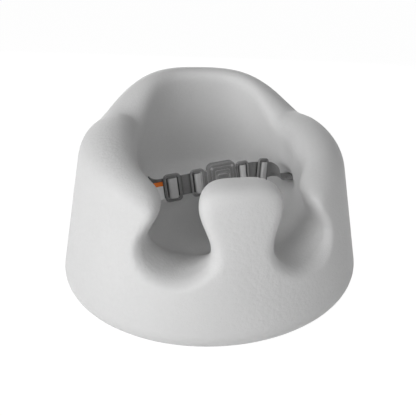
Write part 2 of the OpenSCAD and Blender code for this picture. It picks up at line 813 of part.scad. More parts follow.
module tongue() {
    color(grey)
        on_belt()
            union() {
                translate([right_bar_x, 0, 0])
                    webbing_frame(right_loop_l, loop_rail_w, loop_bar_w);
                translate([buckle_w / 2 + run_gap, -frame_t / 2, -neck_h / 2])
                    cube([tongue_neck - run_gap + 1, frame_t, neck_h]);
                for (s = [-1, 1])
                    translate([buckle_w / 2 - prong_l, -prong_t / 2, s > 0 ? prong_in : -prong_out])
                        cube([prong_l + 1, prong_t, prong_out - prong_in]);
            }
}

seat_body();
anchor_left();
anchor_right();
strap_root_left();
strap_root_right();
strap_left();
loop_left();
slider_left();
wrap_left();
tag_band();
tag_label();
buckle_housing();
buckle_cover();
release_button();
button_spring();
buckle_screws();
tongue();
loop_right();
slider_right();
wrap_right();
strap_right();
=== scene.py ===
import math

import bmesh
import bpy
import numpy as np
from mathutils import Matrix, Vector


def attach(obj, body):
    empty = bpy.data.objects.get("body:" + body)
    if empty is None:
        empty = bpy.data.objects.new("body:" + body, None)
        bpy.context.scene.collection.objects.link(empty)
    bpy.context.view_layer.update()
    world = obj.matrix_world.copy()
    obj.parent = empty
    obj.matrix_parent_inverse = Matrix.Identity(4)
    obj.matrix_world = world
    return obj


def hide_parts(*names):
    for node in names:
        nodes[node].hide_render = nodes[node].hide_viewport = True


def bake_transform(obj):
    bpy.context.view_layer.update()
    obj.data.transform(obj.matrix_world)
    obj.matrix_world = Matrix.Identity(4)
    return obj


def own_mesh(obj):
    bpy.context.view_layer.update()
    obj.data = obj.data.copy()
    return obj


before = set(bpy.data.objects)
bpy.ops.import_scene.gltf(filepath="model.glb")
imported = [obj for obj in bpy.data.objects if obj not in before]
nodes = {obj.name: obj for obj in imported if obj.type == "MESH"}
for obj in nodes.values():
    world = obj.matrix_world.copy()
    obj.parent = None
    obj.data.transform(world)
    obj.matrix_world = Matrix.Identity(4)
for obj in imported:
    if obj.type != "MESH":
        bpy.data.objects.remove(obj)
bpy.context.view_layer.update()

MM = 0.001

# ---------------------------------------------------------------- camera
# The view is fitted to the photograph's outline; its crop is off centre, so the lens is shifted.
IMAGE, SENSOR = 416, 36
AZIMUTH, ELEVATION = math.radians(-10.582), math.radians(30.795)
DISTANCE, FOCAL_PX = 0.67636, 484.15
# Where the middle of the base falls in the picture, and how far that is from the lens's axis
BASE_U, BASE_V, BASE_FROM_AXIS = 214.59, 262.60, -58.69


def make_camera():
    """The photograph's camera: it looks past the base, which the lens's shift brings back."""
    back = np.array([math.sin(AZIMUTH) * math.cos(ELEVATION),
                     -math.cos(AZIMUTH) * math.cos(ELEVATION), math.sin(ELEVATION)])
    right = np.array([math.cos(AZIMUTH), math.sin(AZIMUTH), 0])
    up = np.cross(back, right)
    aim = np.array([BASE_FROM_AXIS / FOCAL_PX, -(BASE_V - IMAGE / 2) / FOCAL_PX, 1.0])
    aim /= np.linalg.norm(aim)
    v = np.cross([0, 0, 1.0], aim)
    cross = np.array([[0, -v[2], v[1]], [v[2], 0, -v[0]], [-v[1], v[0], 0]])
    turn = np.eye(3) + cross + cross @ cross / (1 + aim[2])
    rows = turn @ np.stack([right, up, -back])
    data = bpy.data.cameras.new("camera")
    camera = bpy.data.objects.new("camera", data)
    bpy.context.scene.collection.objects.link(camera)
    place = Matrix((Vector(rows[0]), Vector(rows[1]), -Vector(rows[2]))).transposed().to_4x4()
    place.translation = Vector(back) * DISTANCE
    camera.matrix_world = place
    data.sensor_width = SENSOR
    data.lens = SENSOR * FOCAL_PX / IMAGE
    data.shift_x = (IMAGE / 2 - (BASE_U - BASE_FROM_AXIS)) / IMAGE
    data.clip_start = 0.01
    bpy.context.scene.camera = camera


# ---------------------------------------------------------------- materials
WHITE = (1, 1, 1, 1)


class Nodes:
    """A short way to write a node tree."""

    def __init__(self, tree):
        self.tree = tree

    def add(self, kind, inputs=None, **settings):
        node = self.tree.nodes.new("ShaderNode" + kind)
        for key, value in settings.items():
            setattr(node, key, value)
        for key, value in (inputs or {}).items():
            if isinstance(value, bpy.types.NodeSocket):
                self.tree.links.new(value, node.inputs[key])
            else:
                node.inputs[key].default_value = value
        return node

    def show(self, node, output):
        self.tree.links.new(node.outputs[0], self.tree.nodes[output].inputs["Surface"])

    def ramp(self, fac, stops):
        """A colour ramp of (place, grey or colour) stops."""
        node = self.add("ValToRGB", {"Fac": fac})
        elements = node.color_ramp.elements
        while len(elements) < len(stops):
            elements.new(0.5)
        for element, (at, value) in zip(elements, stops):
            element.position = at
            element.color = value if hasattr(value, "__len__") else (value, value, value, 1)
        return node.outputs["Color"]

    def math(self, operation, a, b=0.0):
        return self.add("Math", {0: a, 1: b}, operation=operation).outputs[0]

    def weigh(self, *parts):
        """The sum of some values, each times its weight."""
        total = None
        for value, weight in parts:
            part = self.math("MULTIPLY", value, weight)
            total = part if total is None else self.math("ADD", total, part)
        return total

    def noise(self, at, scale, detail, output="Fac"):
        node = self.add("TexNoise", {"Vector": at, "Scale": scale, "Detail": detail})
        return node.outputs[output]

    def cells(self, at, scale, smoothness):
        return self.add("TexVoronoi", {"Vector": at, "Scale": scale, "Smoothness": smoothness},
                        feature="SMOOTH_F1").outputs["Distance"]

    def openness(self, distance, stops, **settings):
        """How open a place is to its surroundings within a distance, as a ramp; multiplied into a
        colour, it paints shade or highlight there.
        """
        node = self.add("AmbientOcclusion", {"Distance": distance}, samples=8, **settings)
        return self.ramp(node.outputs["AO"], stops)


class Material(Nodes):
    """The node tree of a new material, with its Principled shader's sockets by name."""

    def __init__(self, name, sockets):
        self.material = bpy.data.materials.new(name)
        self.material.use_nodes = True
        super().__init__(self.material.node_tree)
        self.shader = self.tree.nodes["Principled BSDF"]
        for key, value in sockets.items():
            self.shader.inputs[key].default_value = value

    def link(self, out, socket):
        self.tree.links.new(out, self.shader.inputs[socket])

    def bump(self, height, distance, strength=1.0):
        node = self.add("Bump", {"Height": height, "Distance": distance, "Strength": strength})
        self.link(node.outputs["Normal"], "Normal")

    def shaded(self, colour, shade):
        """The base colour, multiplied by a shade."""
        node = self.add("MixRGB", {"Fac": 1.0, "Color1": colour, "Color2": shade},
                        blend_type="MULTIPLY")
        self.link(node.outputs["Color"], "Base Color")


# Texture scales are in cells per metre, and bump distances in metres.
def foam_material():
    m = Material("moulded_foam", {"Roughness": 0.56, "Specular IOR Level": 0.42,
                                  "Sheen Weight": 0.06})
    place = m.add("TexCoord").outputs["Object"]
    broad, fine = m.noise(place, 9.0, 3.0), m.noise(place, 240.0, 3.0)
    m.link(m.ramp(m.weigh((broad, 0.7), (fine, 0.3)), [(0.3, 0.66), (0.7, 0.705)]), "Base Color")
    # Leather grain pressed into the skin: cells a little under two millimetres across
    warp = m.noise(place, 300.0, 2.0, "Color")
    moved = m.add("VectorMath", {0: warp, "Scale": 0.0009}, operation="SCALE").outputs[0]
    grain_at = m.add("VectorMath", {0: place, 1: moved}, operation="ADD").outputs[0]
    cells = m.cells(grain_at, 560.0, 0.6)
    pits = m.noise(place, 900.0, 2.0)
    waves = m.noise(place, 22.0, 2.0)
    # Patches where the skin has drawn into wrinkles a few millimetres apart
    patch = m.ramp(m.noise(place, 13.0, 1.0), [(0.42, 0.12), (0.62, 1.0)])
    wrinkles = m.math("MULTIPLY", m.cells(grain_at, 210.0, 0.5), patch)
    m.bump(m.weigh((cells, -0.6), (pits, 0.35), (wrinkles, -1.5), (waves, 1.6)), 0.00028, 0.85)
    m.link(m.ramp(m.weigh((cells, 0.5), (broad, 0.5)), [(0.2, 0.50), (0.8, 0.66)]), "Roughness")
    return m.material


# The twill's turn in millimetres, and the runs of twill, warp and threads in radians per millimetre
TWILL_TURN, TWILL_RUN, WARP_RUN, THREAD_RUN, CROSS_RUN = 2.2, 5.2, 7.4, 14.0, 17.0


def webbing_material(name, level, rough=0.78):
    """Woven polyester: ribs across the strap and a twill that turns; UV is in millimetres."""
    m = Material(name, {"Roughness": rough, "Sheen Weight": 0.25, "Sheen Roughness": 0.4})
    uv = m.add("UVMap", uv_map="strap").outputs["UV"]
    split = m.add("SeparateXYZ", {"Vector": uv})
    along, across = split.outputs["X"], split.outputs["Y"]
    slant = m.math("ADD", along, m.math("PINGPONG", across, TWILL_TURN))
    twill = m.math("SINE", m.math("MULTIPLY", slant, TWILL_RUN))
    warp = m.math("SINE", m.math("MULTIPLY", across, WARP_RUN))
    yarn = m.math("MULTIPLY", m.weigh((twill, 0.6), (warp, 0.4)), 0.5)
    place = m.add("TexCoord").outputs["Object"]
    fuzz, broad = m.noise(place, 1600.0, 2.0), m.noise(place, 60.0, 2.0)
    tone = m.math("ADD", m.weigh((yarn, 0.45), (fuzz, 0.2), (broad, 0.2)), 0.3)
    # Painted shade: the webbing's colour is darkened where it is tucked into a frame, by how open
    # the place is
    m.shaded(m.ramp(tone, [(0.1, level * 0.62), (0.9, level * 1.3)]),
             m.openness(0.004, [(0.5, 0.3), (0.92, 1.0)]))
    m.bump(m.weigh((yarn, 1.0), (fuzz, 0.25)), 0.00035, 0.9)
    return m.material


def plastic_material(name, level, rough=0.42):
    """Spark-eroded plastic; the flat faces come out at about the level."""
    m = Material(name, {"Roughness": rough, "Specular IOR Level": 0.45})
    place = m.add("TexCoord").outputs["Object"]
    spark, broad = m.noise(place, 2600.0, 2.0), m.noise(place, 70.0, 3.0)
    tone = m.weigh((spark, 0.35), (broad, 0.65))
    # Painted highlight along the edges and painted shade in the creases, both from how open each
    # place is
    edge = m.openness(0.002, [(0.5, 1.2), (0.88, 0.38)], only_local=True, inside=True)
    painted_crease_shade = m.openness(0.0022, [(0.35, 0.3), (0.9, 1.0)], only_local=True)
    colour = m.ramp(tone, [(0.3, level * 2.1), (0.7, level * 2.3)])
    m.shaded(colour, m.math("MULTIPLY", edge, painted_crease_shade))
    m.link(m.ramp(broad, [(0.3, rough - 0.02), (0.7, rough + 0.04)]), "Roughness")
    m.bump(spark, 0.00002, 0.8)
    return m.material


def steel_material():
    m = Material("bright_steel", {"Metallic": 1.0, "Roughness": 0.3})
    streak = m.noise(m.add("TexCoord").outputs["Object"], 1500.0, 3.0)
    m.link(m.ramp(streak, [(0.3, 0.5), (0.7, 0.68)]), "Base Color")
    m.link(m.ramp(streak, [(0.3, 0.22), (0.7, 0.4)]), "Roughness")
    m.bump(streak, 0.00002)
    return m.material


def ribbon_material(name, colour, low):
    """Satin label ribbon: fine threads across the tag; UV is in millimetres."""
    m = Material(name, {"Roughness": 0.5, "Sheen Weight": 0.2})
    uv = m.add("UVMap", uv_map="strap").outputs["UV"]
    split = m.add("SeparateXYZ", {"Vector": uv})
    threads = m.math("SINE", m.math("MULTIPLY", split.outputs["Y"], THREAD_RUN))
    cross = m.math("SINE", m.math("MULTIPLY", split.outputs["X"], CROSS_RUN))
    weave = m.math("MULTIPLY", m.weigh((threads, 1.0), (cross, 0.5)), 0.5)
    m.link(m.ramp(m.math("ADD", m.math("MULTIPLY", weave, 0.4), 0.5), [(0.1, low), (0.9, colour)]),
           "Base Color")
    m.bump(weave, 0.00008, 0.7)
    return m.material


# ---------------------------------------------------------------- mesh helpers
def new_piece(name, points, faces, material, body=None, slot=None, uv=None, angle=None):
    """A mesh piece from points in millimetres, riding on a CAD body."""
    mesh = bpy.data.meshes.new(name)
    mesh.from_pydata((np.asarray(points, float) * MM).tolist(), [], [tuple(f) for f in faces])
    if uv is not None:
        layer = mesh.uv_layers.new(name="strap")
        loops = np.empty(len(mesh.loops), np.int32)
        mesh.loops.foreach_get("vertex_index", loops)
        layer.data.foreach_set("uv", np.asarray(uv, np.float32)[loops].ravel())
    piece = bpy.data.objects.new(name, mesh)
    bpy.context.scene.collection.objects.link(piece)
    tidy(mesh)
    mesh.materials.append(material)
    shade(piece, angle)
    if body:
        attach(piece, body)
    return piece


def tidy(mesh):
    """Welds the seams of a mesh and turns its faces outward."""
    work = bmesh.new()
    work.from_mesh(mesh)
    bmesh.ops.remove_doubles(work, verts=work.verts, dist=2e-6)
    bmesh.ops.dissolve_degenerate(work, edges=work.edges, dist=1e-7)
    bmesh.ops.recalc_face_normals(work, faces=work.faces)
    work.to_mesh(mesh)
    work.free()


def settle(piece):
    """Applies a piece's modifiers to its mesh."""
    bpy.context.view_layer.update()
    graph = bpy.context.evaluated_depsgraph_get()
    made = bpy.data.meshes.new_from_object(piece.evaluated_get(graph))
    piece.modifiers.clear()
    old = piece.data
    piece.data = made
    bpy.data.meshes.remove(old)


def combine(piece, others, operation):
    """Joins the others to a piece, or cuts them out of it, as solids."""
    for other in others:
        step = piece.modifiers.new("boolean", "BOOLEAN")
        step.operation = operation
        step.solver = "MANIFOLD"
        step.object = other
    settle(piece)
    for other in others:
        data = other.data
        bpy.data.objects.remove(other)
        bpy.data.meshes.remove(data)


def shade(piece, angle):
    """Smooth shading; edges sharper than the angle stay sharp, where one is given."""
    mesh = piece.data
    mesh.polygons.foreach_set("use_smooth", np.ones(len(mesh.polygons), bool))
    if angle is not None:
        mesh.set_sharp_from_angle(angle=math.radians(angle))


def loft(rings):
    """Points and faces of a tube through rings of equal length, with flat ends."""
    n = len(rings[0])
    points = np.concatenate([np.asarray(r, float) for r in rings])
    last = len(points) - n
    faces = []
    for a in range(0, last, n):
        b = a + n
        faces += [(a + j, a + (j + 1) % n, b + (j + 1) % n, b + j) for j in range(n)]
    faces += [tuple(range(n - 1, -1, -1)), tuple(range(last, last + n))]
    return points, faces


# ---------------------------------------------------------------- the foam shell
# Sizes are in millimetres, and angles in degrees from the front. The form is the CAD source's,
# with tighter roundings along the sides and sills of the leg openings.
SHELL_R, EDGE_R, LEAN = 187.5, 24.0, 0.21
RIM_ARM, RIM_BACK = 198.0, 243.0
FLOOR_Z, FLOOR_R, SCOOP_H = 56.0, 58.0, 54.0
# Thickness of the wall, and the angles between which it changes
WALL_POST, WALL_LOBE, WALL_ARM, WALL_BACK = 50.0, 44.0, 64.0, 36.0
LOBE_FROM, LOBE_TO, ARM_FROM, ARM_TO, THIN_FROM, THIN_TO = 16, 36, 40, 84, 108.0, 166.0
# The crotch post's half widths and heights, and the roundness of its top
POST_TOP, POST_HEAD, POST_WAIST, POST_SHOULDER = 174.5, 16.9, 12.0, 150.0
POST_PART, POST_ROUND_A, POST_ROUND_Z = 0.62, 0.62, 0.75
LEG_FAR, LEG_NECK, LEG_NECK_Z, LEG_WIDE_Z, LEG_SILL_Z = 37.6, 30.2, 147.0, 106.0, 78.0
# The rim's round rise to the arm's top, and its second rise to the back
ARM_TOP, RIM_POWER, BACK_FROM, BACK_START, BACK_END = 102.0, 1.4, 112.0, 3.2, 1.6
# Rounding outside and inside, and the ridge's place across the wall, on the stretches of the rim
POST_RIM, SILL_RIM, SIDE_RIM = (15, 26, 0.62), (11, 15, 0.74), (8, 40, 0.78)
RIM_REACH, RIM_CURVE = 1.12, 2.5
# The nose of the lobe between the leg opening and the arm, and the parts of the curve round it
NOSE_RISE, NOSE_BOW, NOSE_END = 22.0, 22.0, 31.0
NOSE_PART, TIP_PART, ARM_PART = 0.62, 0.08, 0.46
MM_PER_DEG = 2.7
# Counts of points on the rim, and of rows and columns on the skin
CHAIN_STEPS, RUN_STEPS, BACK_STEPS, BLOCK = 40, 160, 40, 4000
POST_COLS, SIDE_COLS, SILL_COLS = 15, 105, 31
UP_ROWS, BAND_ROWS, EDGE_ROWS, WELL_ROWS, BASE_ROWS, FLOOR_ROWS = 31, 29, 9, 35, 6, 8
# Powers that draw the rows and columns together towards the rim
POST_DRAW, SIDE_DRAW, UP_DRAW = 1.5, 1.35, 1.7


def ramp(t):
    """A smooth step from 0 to 1."""
    t = np.clip(t, 0, 1)
    return t * t * (3 - 2 * t)


def between(a, low, high):
    return ramp((np.asarray(a, float) - low) / (high - low))


def mix(a, b, t):
    return a + (b - a) * t


def rim_z(a):
    """Height of the rim from the neck of the leg opening to the back."""
    a = np.asarray(a, float)
    near = np.clip((ARM_TOP - a) / (ARM_TOP - LEG_NECK), 0, 1)
    front = LEG_NECK_Z + (RIM_ARM - LEG_NECK_Z) * (1 - near ** RIM_POWER) ** (1 / RIM_POWER)
    far = np.clip((180 - a) / (180 - BACK_FROM), 0, 1)
    return front + (RIM_BACK - RIM_ARM) * (1 - far ** BACK_START) ** BACK_END


def wall_at(a):
    front = mix(WALL_POST, WALL_LOBE, between(a, LOBE_FROM, LOBE_TO))
    rest = (WALL_LOBE + (WALL_ARM - WALL_LOBE) * between(a, ARM_FROM, ARM_TO)
            + (WALL_BACK - WALL_ARM) * between(a, THIN_FROM, THIN_TO))
    return np.where(np.asarray(a) < (LOBE_TO + ARM_FROM) / 2, front, rest)


def outer_r(z):
    """Radius of the outside: a round edge at the base, then a wall that leans in."""
    z = np.asarray(z, float)
    lean = math.atan(LEAN)
    top_z = EDGE_R * (1 + math.sin(lean))
    top_r = SHELL_R - EDGE_R * (1 - math.cos(lean))
    edge = SHELL_R - EDGE_R + np.sqrt(np.maximum(0, EDGE_R ** 2 - (z - EDGE_R) ** 2))
    return np.where(z < top_z, edge, top_r - (z - top_z) * LEAN)


def well_r(a, z):
    """Radius of the inside: a scoop up from the floor, then a wall of the given thickness."""
    z = np.asarray(z, float)
    scoop_z = FLOOR_Z + SCOOP_H
    t = np.clip((z - FLOOR_Z) / SCOOP_H, 0, 1)
    scoop = mix(FLOOR_R, outer_r(scoop_z) - wall_at(a), np.sqrt(np.maximum(0, 1 - (1 - t) ** 2)))
    return np.where(z >= scoop_z, outer_r(z) - wall_at(a), scoop)


def pair(a, z):
    a, z = np.broadcast_arrays(np.asarray(a, float), np.asarray(z, float))
    return np.stack([a, z], -1)


def power(x, p):
    return np.maximum(x, 0) ** p


def post_corner(v):
    v = np.radians(v)
    return pair(POST_HEAD * power(np.cos(v), POST_ROUND_A),
                POST_SHOULDER + (POST_TOP - POST_SHOULDER) * power(np.sin(v), POST_ROUND_Z))


def lobe_corner(v):
    v = np.radians(v)
    return pair(ARM_TOP - (ARM_TOP - LEG_NECK) * power(np.cos(v), 2 / RIM_POWER),
                LEG_NECK_Z + (RIM_ARM - LEG_NECK_Z) * power(np.sin(v), 2 / RIM_POWER))


def side_then_corner(t, split, low, high, z0, z1, corner, v_end):
    t = np.asarray(t, float)
    u = np.clip(t / split, 0, 1)
    below = pair(mix(low, high, ramp(u)), mix(z0, z1, u))
    above = corner(v_end * np.clip((t - split) / (1 - split), 0, 1))
    return np.where((t <= split)[..., None], below, above)


def post_side(t):
    return side_then_corner(t, POST_PART, POST_WAIST, POST_HEAD, LEG_WIDE_Z, POST_SHOULDER,
                            post_corner, 45)


def nose(t):
    """From the widest place of the leg opening, round the nose of the lobe, onto the arm's rim."""
    t = np.asarray(t, float)[..., None]
    low, tip = np.array([LEG_FAR, LEG_WIDE_Z]), lobe_corner(NOSE_END)
    step = lobe_corner(NOSE_END + 0.5) - tip
    bow = tip - NOSE_BOW * step / step[0]
    knee = low + [0, NOSE_RISE]
    return ((1 - t) ** 3 * low + 3 * t * (1 - t) ** 2 * knee
            + 3 * t * t * (1 - t) * bow + t ** 3 * tip)


def lobe_side(t):
    return nose(NOSE_PART * np.asarray(t, float))


def post_over(t):
    return post_corner(90 - 45 * np.asarray(t, float))


def rim_run(t):
    t = np.asarray(t, float)
    a = mix(ARM_TOP, 180, np.clip((t - ARM_PART) / (1 - ARM_PART), 0, 1))
    arm = lobe_corner(mix(NOSE_END, 90, np.clip((t - TIP_PART) / (ARM_PART - TIP_PART), 0, 1)))
    past = np.where((t <= ARM_PART)[..., None], arm, pair(a, rim_z(a)))
    tip = nose(mix(NOSE_PART, 1, np.clip(t / TIP_PART, 0, 1)))
    return np.where((t <= TIP_PART)[..., None], tip, past)


def leg_bottom(t):
    v = math.pi * np.asarray(t, float)
    middle, half = (POST_WAIST + LEG_FAR) / 2, (LEG_FAR - POST_WAIST) / 2
    return pair(middle - half * np.cos(v), LEG_WIDE_Z - (LEG_WIDE_Z - LEG_SILL_Z) * np.sin(v))


def arm_rim(a):
    """The arm's rim is a half round: both roundings are half of the wall."""
    half = wall_at(a) / 2
    return np.stack([half, half, 0 * half + 0.5], -1)


def rim_chain():
    """The rim as points on the unrolled wall, each with its two roundings and its ridge."""
    t = np.linspace(0, 1, CHAIN_STEPS)
    column = t[:, None]
    post, sill, side = (np.array(v, float) for v in (POST_RIM, SILL_RIM, SIDE_RIM))
    run = rim_run(mix(TIP_PART, 1, np.linspace(0, 1, RUN_STEPS)))
    back = run[::-1][1:BACK_STEPS]
    bottom = mix(mix(post, sill, ramp(column / 0.3)), side, ramp((column - 0.7) / 0.3))
    up = mix(side, arm_rim(nose(t)[:, 0]), ramp((column - 0.5) / 0.5))
    parts = [(post_over(t), post + 0 * column), (post_side(t)[::-1], post + 0 * column),
             (leg_bottom(t), bottom), (nose(t), up), (run, arm_rim(run[:, 0])),
             (back * [-1, 1] + [360, 0], arm_rim(back[:, 0]))]
    half = np.concatenate([np.concatenate([p, q], 1) for p, q in parts])
    chain = np.concatenate([half[::-1] * [-1, 1, 1, 1, 1], half])
    chain[:, 0] *= MM_PER_DEG
    return chain


CHAIN = rim_chain()


def pull_to(s, h):
    """The integral of 1 / (s * s + h * h) ** 2 along a line: the pull of its part up to s."""
    return s / (2 * h * h * (s * s + h * h)) + np.arctan(s / h) / (2 * h ** 3)


def nearness(a, z, side):
    """How near the rim is, in roundings, and the ridge's place there; smooth over the whole wall.

    Each stretch of the rim pulls with the inverse fourth power of its distance, in closed form.
    """
    start, run = CHAIN[:-1, :2], CHAIN[1:, :2] - CHAIN[:-1, :2]
    length = np.hypot(run[:, 0], run[:, 1])
    keep = (length > 1e-6) & (length < 60)
    middle = (CHAIN[1:] + CHAIN[:-1])[keep] / 2
    start, run, length = start[keep], run[keep], length[keep]
    run = run / length[:, None]
    cube, ridge = middle[:, 2 + side] ** 3, middle[:, 4]
    flat = np.stack([np.ravel(a) * MM_PER_DEG, np.ravel(z)], -1)
    best, place = np.empty(len(flat)), np.empty(len(flat))
    for i in range(0, len(flat), BLOCK):
        gap = flat[i:i + BLOCK, None] - start[None]
        s = (gap * run[None]).sum(2)
        h = np.maximum(0.05, np.abs(gap[..., 0] * run[None, :, 1] - gap[..., 1] * run[None, :, 0]))
        pull = np.maximum(0, pull_to(s, h) - pull_to(s - length, h))
        best[i:i + BLOCK] = (2 / math.pi * (pull @ cube)) ** (-1 / 3)
        place[i:i + BLOCK] = (pull @ ridge) / pull.sum(1)
    return best.reshape(np.shape(a)), place.reshape(np.shape(a))


def skin(a, z, side, on_rim):
    """Points of the skin; side 0 is the outside and 1 the inside of the wall."""
    near, ridge = nearness(a, z, side)
    near = np.where(on_rim, 0, near)
    outside, inside = outer_r(z), well_r(a, z)
    crest = mix(inside, outside, ridge)
    e = np.sqrt(np.maximum(0, 1 - (1 - np.minimum(1, near / RIM_REACH)) ** RIM_CURVE))
    r = mix(crest, outside if side == 0 else inside, e)
    turn = np.radians(a)
    return np.stack([r * np.sin(turn), -r * np.cos(turn), z + 0 * r], -1)


def coons(us, vs, low, high, near, far, rim_col):
    """Angles and heights of a patch between four curves, and which of its points are on the rim."""
    u, v = us[None, :, None], vs[:, None, None]
    grid = ((1 - v) * low(us)[None] + v * high(us)[None]
            + (1 - u) * near(vs)[:, None] + u * far(vs)[:, None]
            - (1 - u) * (1 - v) * low(0.0) - u * (1 - v) * low(1.0)
            - (1 - u) * v * high(0.0) - u * v * high(1.0))
    rim = np.zeros(grid.shape[:2], bool)
    rim[-1] = True
    rim[:, rim_col] = True
    return grid[..., 0], grid[..., 1], rim


def grid_quads(rows, cols, first):
    i = np.arange(rows - 1)[:, None] * cols + np.arange(cols - 1)[None] + first
    i = i.ravel()
    return np.stack([i, i + 1, i + cols + 1, i + cols], -1).tolist()


def foam_mesh():
    """Half of the skin in grids that share their edges, and its mirror image."""
    post_u = 1 - np.linspace(1, 0, POST_COLS) ** POST_DRAW
    side_u = np.linspace(0, 1, SIDE_COLS) ** SIDE_DRAW
    up_v = 1 - np.linspace(1, 0, UP_ROWS) ** UP_DRAW
    sill = leg_bottom(np.linspace(0, 1, SILL_COLS)[1:-1])
    cols = np.concatenate([POST_WAIST * post_u, sill[:, 0], mix(LEG_FAR, 180, side_u)])
    tops = np.concatenate([0 * post_u + LEG_WIDE_Z, sill[:, 1], 0 * side_u + LEG_WIDE_Z])
    rim_cols = np.zeros(len(cols), bool)
    rim_cols[POST_COLS - 1:POST_COLS + len(sill) + 1] = True

    def band(rows, side):
        rim = np.zeros(rows.shape, bool)
        rim[0] = rim_cols
        return [skin(cols[None] + 0 * rows, rows, side, rim)]

    edge_z, edge_r = 0.9 * EDGE_R, SHELL_R - EDGE_R
    outer = band(mix(tops[None], edge_z, np.linspace(0, 1, BAND_ROWS)[:, None] ** SIDE_DRAW), 0)
    for t in np.linspace(math.asin(1 - edge_z / EDGE_R), math.pi / 2, EDGE_ROWS)[1:]:
        outer.append(ring_at(cols, edge_r + EDGE_R * math.cos(t), EDGE_R * (1 - math.sin(t))))
    for part in np.linspace(1, 0, BASE_ROWS)[1:]:
        outer.append(ring_at(cols, edge_r * part, 0))

    fall = 1 - np.sin(np.linspace(0, math.pi / 2, WELL_ROWS))[:, None]
    inner = band(mix(FLOOR_Z, tops[None], fall), 1)
    for part in np.linspace(1, 0, FLOOR_ROWS)[1:]:
        inner.append(ring_at(cols, FLOOR_R * part, FLOOR_Z))

    grids = [np.concatenate(outer), np.concatenate(inner)]
    low = LEG_WIDE_Z
    patches = (
        coons(post_u, up_v, lambda u: pair(POST_WAIST * np.asarray(u), low), post_over,
              lambda v: pair(0, mix(low, POST_TOP, np.asarray(v))), post_side, -1),
        coons(side_u, up_v, lambda u: pair(mix(LEG_FAR, 180, np.asarray(u)), low), rim_run,
              lobe_side, lambda v: pair(180, mix(low, rim_z(180), np.asarray(v))), 0))
    for a, z, rim in patches:
        grids += [skin(a, z, 0, rim), skin(a, z, 1, rim)]
    points, faces, first = [], [], 0
    for grid in grids:
        rows, count = grid.shape[:2]
        points.append(grid.reshape(-1, 3))
        faces += grid_quads(rows, count, first)
        first += rows * count
    half = np.concatenate(points)
    faces += [[i + first for i in f] for f in faces]
    return np.concatenate([half, half * [-1, 1, 1]]), faces


def ring_at(angles, r, z):
    """One row of points round the middle."""
    turn = np.radians(angles)
    return np.stack([r * np.sin(turn), -r * np.cos(turn), 0 * turn + z], -1)[None]


# The strap's slot in each wall, its tunnel down to a pocket in the base, and the anchor there
EXIT_Y, EXIT_Z = 19.5, 114.0
WALL_X = float(math.sqrt(well_r(90, EXIT_Z) ** 2 - EXIT_Y ** 2))
TUNNEL_X, TUNNEL_T, POCKET_D = 122.0, 4.4, 20.0
WEB_W, WEB_T, WEB_BACK = 25.4, 1.8, 3.1
ANCHOR_R, ANCHOR_L, GAP = 4.0, 46.0, 0.3
RING_R = ANCHOR_R + GAP + WEB_T
ANCHOR_Z = POCKET_D - GAP - RING_R
SLOT_W, SLOT_EDGE, SLOT_START, POCKET_EDGE, POCKET_ROOM = WEB_W + 4, 2, 25, 3, (2, 3)
# Depth of the dip round each slot, its half sizes, and how far from the wall it reaches
DIP_IN, DIP_Y, DIP_Z, DIP_REACH = 9.5, 17, 12, 18


def round_rect(w, h, r, steps=8):
    """Points of a rectangle with round corners, in the plane of its two sizes."""
    r = min(r, w / 2 - 1e-3, h / 2 - 1e-3)
    turn = np.linspace(0, math.pi / 2, steps + 1)
    corners = []
    for k, (sx, sy) in enumerate(((1, 1), (-1, 1), (-1, -1), (1, -1))):
        a = turn + k * math.pi / 2
        corners.append(np.stack([sx * (w / 2 - r) + r * np.cos(a),
                                 sy * (h / 2 - r) + r * np.sin(a)], -1))
    return np.concatenate(corners)


def box_cutter(low, high, r, axis):
    """A block with round corners about one axis, for cutting."""
    others = [i for i in range(3) if i != axis]
    flat = round_rect(*(high - low)[others], r)
    rings = []
    for level in (low[axis], high[axis]):
        ring = np.zeros((len(flat), 3))
        ring[:, others] = flat + (low + high)[others] / 2
        ring[:, axis] = level
        rings.append(ring)
    return new_piece("cut", *loft(rings), foam)


def foam_shell():
    points, faces = foam_mesh()
    for side in (-1, 1):
        near = points - [side * WALL_X, EXIT_Y, EXIT_Z]
        inside = np.abs(near[:, 0]) < DIP_REACH
        dip = DIP_IN * np.exp(-((near[:, 1] / DIP_Y) ** 4 + (near[:, 2] / DIP_Z) ** 4)) * inside
        points[:, 0] += side * dip
    shell = new_piece("foam_shell", points, faces, foam, slot="foam")
    half, half_w = TUNNEL_T / 2, SLOT_W / 2
    reach, half_l = RING_R + POCKET_ROOM[0], ANCHOR_L / 2 + POCKET_ROOM[1]
    blocks = (
        ([WALL_X - SLOT_START, EXIT_Y - half_w, EXIT_Z - half],
         [TUNNEL_X + half, EXIT_Y + half_w, EXIT_Z + half], SLOT_EDGE, 0),
        ([TUNNEL_X - half, EXIT_Y - half_w, POCKET_D - 1],
         [TUNNEL_X + half, EXIT_Y + half_w, EXIT_Z], SLOT_EDGE, 2),
        ([TUNNEL_X - reach, EXIT_Y - half_l, -1],
         [TUNNEL_X + reach, EXIT_Y + half_l, POCKET_D], POCKET_EDGE, 2))
    cuts = []
    for side in (-1, 1):
        for near, far, r, axis in blocks:
            ends = np.array([near, far]) * [side, 1, 1]
            cuts.append(box_cutter(ends.min(0), ends.max(0), r, axis))
    combine(shell, cuts, "DIFFERENCE")
    shade(shell, 42)
    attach(shell, "seat")
    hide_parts("seat_body")


# ---------------------------------------------------------------- the belt's own frame
# x runs along the belt, z across it, and -y is its face; the middle is the buckle's.
BUCKLE_AT = np.array([6.0, -13.0, 129.0])
BELT_YAW, BELT_RISE, BELT_LEAN = 8.5, 5.0, 4.0


def turn_about(axis, degrees):
    return np.array(Matrix.Rotation(math.radians(degrees), 3, axis))


BELT = turn_about("Z", BELT_YAW) @ turn_about("Y", -BELT_RISE) @ turn_about("X", -BELT_LEAN)


def on_belt(points):
    return np.asarray(points, float) @ BELT.T + BUCKLE_AT


def belt_dir(v):
    return BELT @ np.asarray(v, float)


